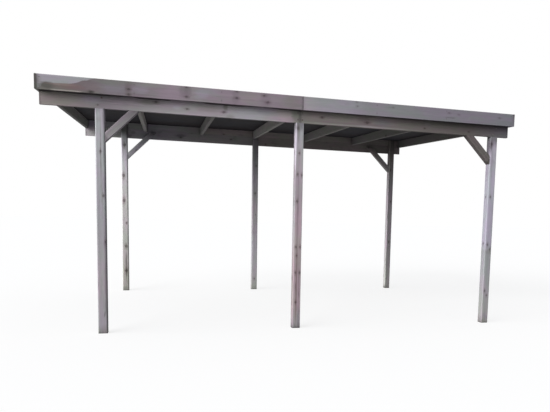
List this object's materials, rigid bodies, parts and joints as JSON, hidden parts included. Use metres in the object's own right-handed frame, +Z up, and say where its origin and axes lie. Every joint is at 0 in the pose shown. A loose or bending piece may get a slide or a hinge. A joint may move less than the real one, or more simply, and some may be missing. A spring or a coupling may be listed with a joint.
{
  "type": "open timber carport",
  "caption": "Open flat-roofed timber carport on square posts, with beams, notched rafters, corner knee braces and a board fascia round the roof.",
  "frame": {"origin": "on the ground, under the middle of the roof's outline", "axes": "+X along the beams, from the end with the long overhang to the end with the short one; +Y from the low front row of posts to the higher back row; +Z up"},
  "size_m": [5.45, 3.895, 2.7897],
  "materials": {
    "post_timber": "weathered grey softwood, bare",
    "beam_timber": "weathered grey softwood, bare",
    "rafter_timber": "weathered softwood, greenish in the shade",
    "brace_timber": "weathered grey softwood, bare",
    "fascia_timber": "weathered grey softwood, stained by rain",
    "roof_board": "dark coated board, matt",
    "roof_felt": "mineral roofing felt, matt"
  },
  "bodies": {
    "root": {"beam_back_left": "beam_timber", "beam_back_right": "beam_timber", "beam_front_left": "beam_timber", "beam_front_right": "beam_timber", "blocking_back_1": "beam_timber", "blocking_back_2": "beam_timber", "blocking_back_3": "beam_timber", "blocking_back_4": "beam_timber", "blocking_back_5": "beam_timber", "blocking_back_6": "beam_timber", "blocking_front_1": "beam_timber", "blocking_front_2": "beam_timber", "blocking_front_3": "beam_timber", "blocking_front_4": "beam_timber", "blocking_front_5": "beam_timber", "blocking_front_6": "beam_timber", "brace_back_left": "brace_timber", "brace_back_right": "brace_timber", "brace_front_left": "brace_timber", "brace_front_right": "brace_timber", "fascia_back_left": "fascia_timber", "fascia_back_right": "fascia_timber", "fascia_end_left": "fascia_timber", "fascia_end_right": "fascia_timber", "fascia_front_left": "fascia_timber", "fascia_front_right": "fascia_timber", "post_back_left": "post_timber", "post_back_middle": "post_timber", "post_back_right": "post_timber", "post_front_left": "post_timber", "post_front_middle": "post_timber", "post_front_right": "post_timber", "rafter_1": "rafter_timber", "rafter_2": "rafter_timber", "rafter_3": "rafter_timber", "rafter_4": "rafter_timber", "rafter_5": "rafter_timber", "rafter_6": "rafter_timber", "rafter_7": "rafter_timber", "roof_felt_1": "roof_felt", "roof_felt_2": "roof_felt", "roof_felt_3": "roof_felt", "roof_felt_4": "roof_felt", "roof_panel_1": "roof_board", "roof_panel_2": "roof_board"}
  },
  "joints": []
}
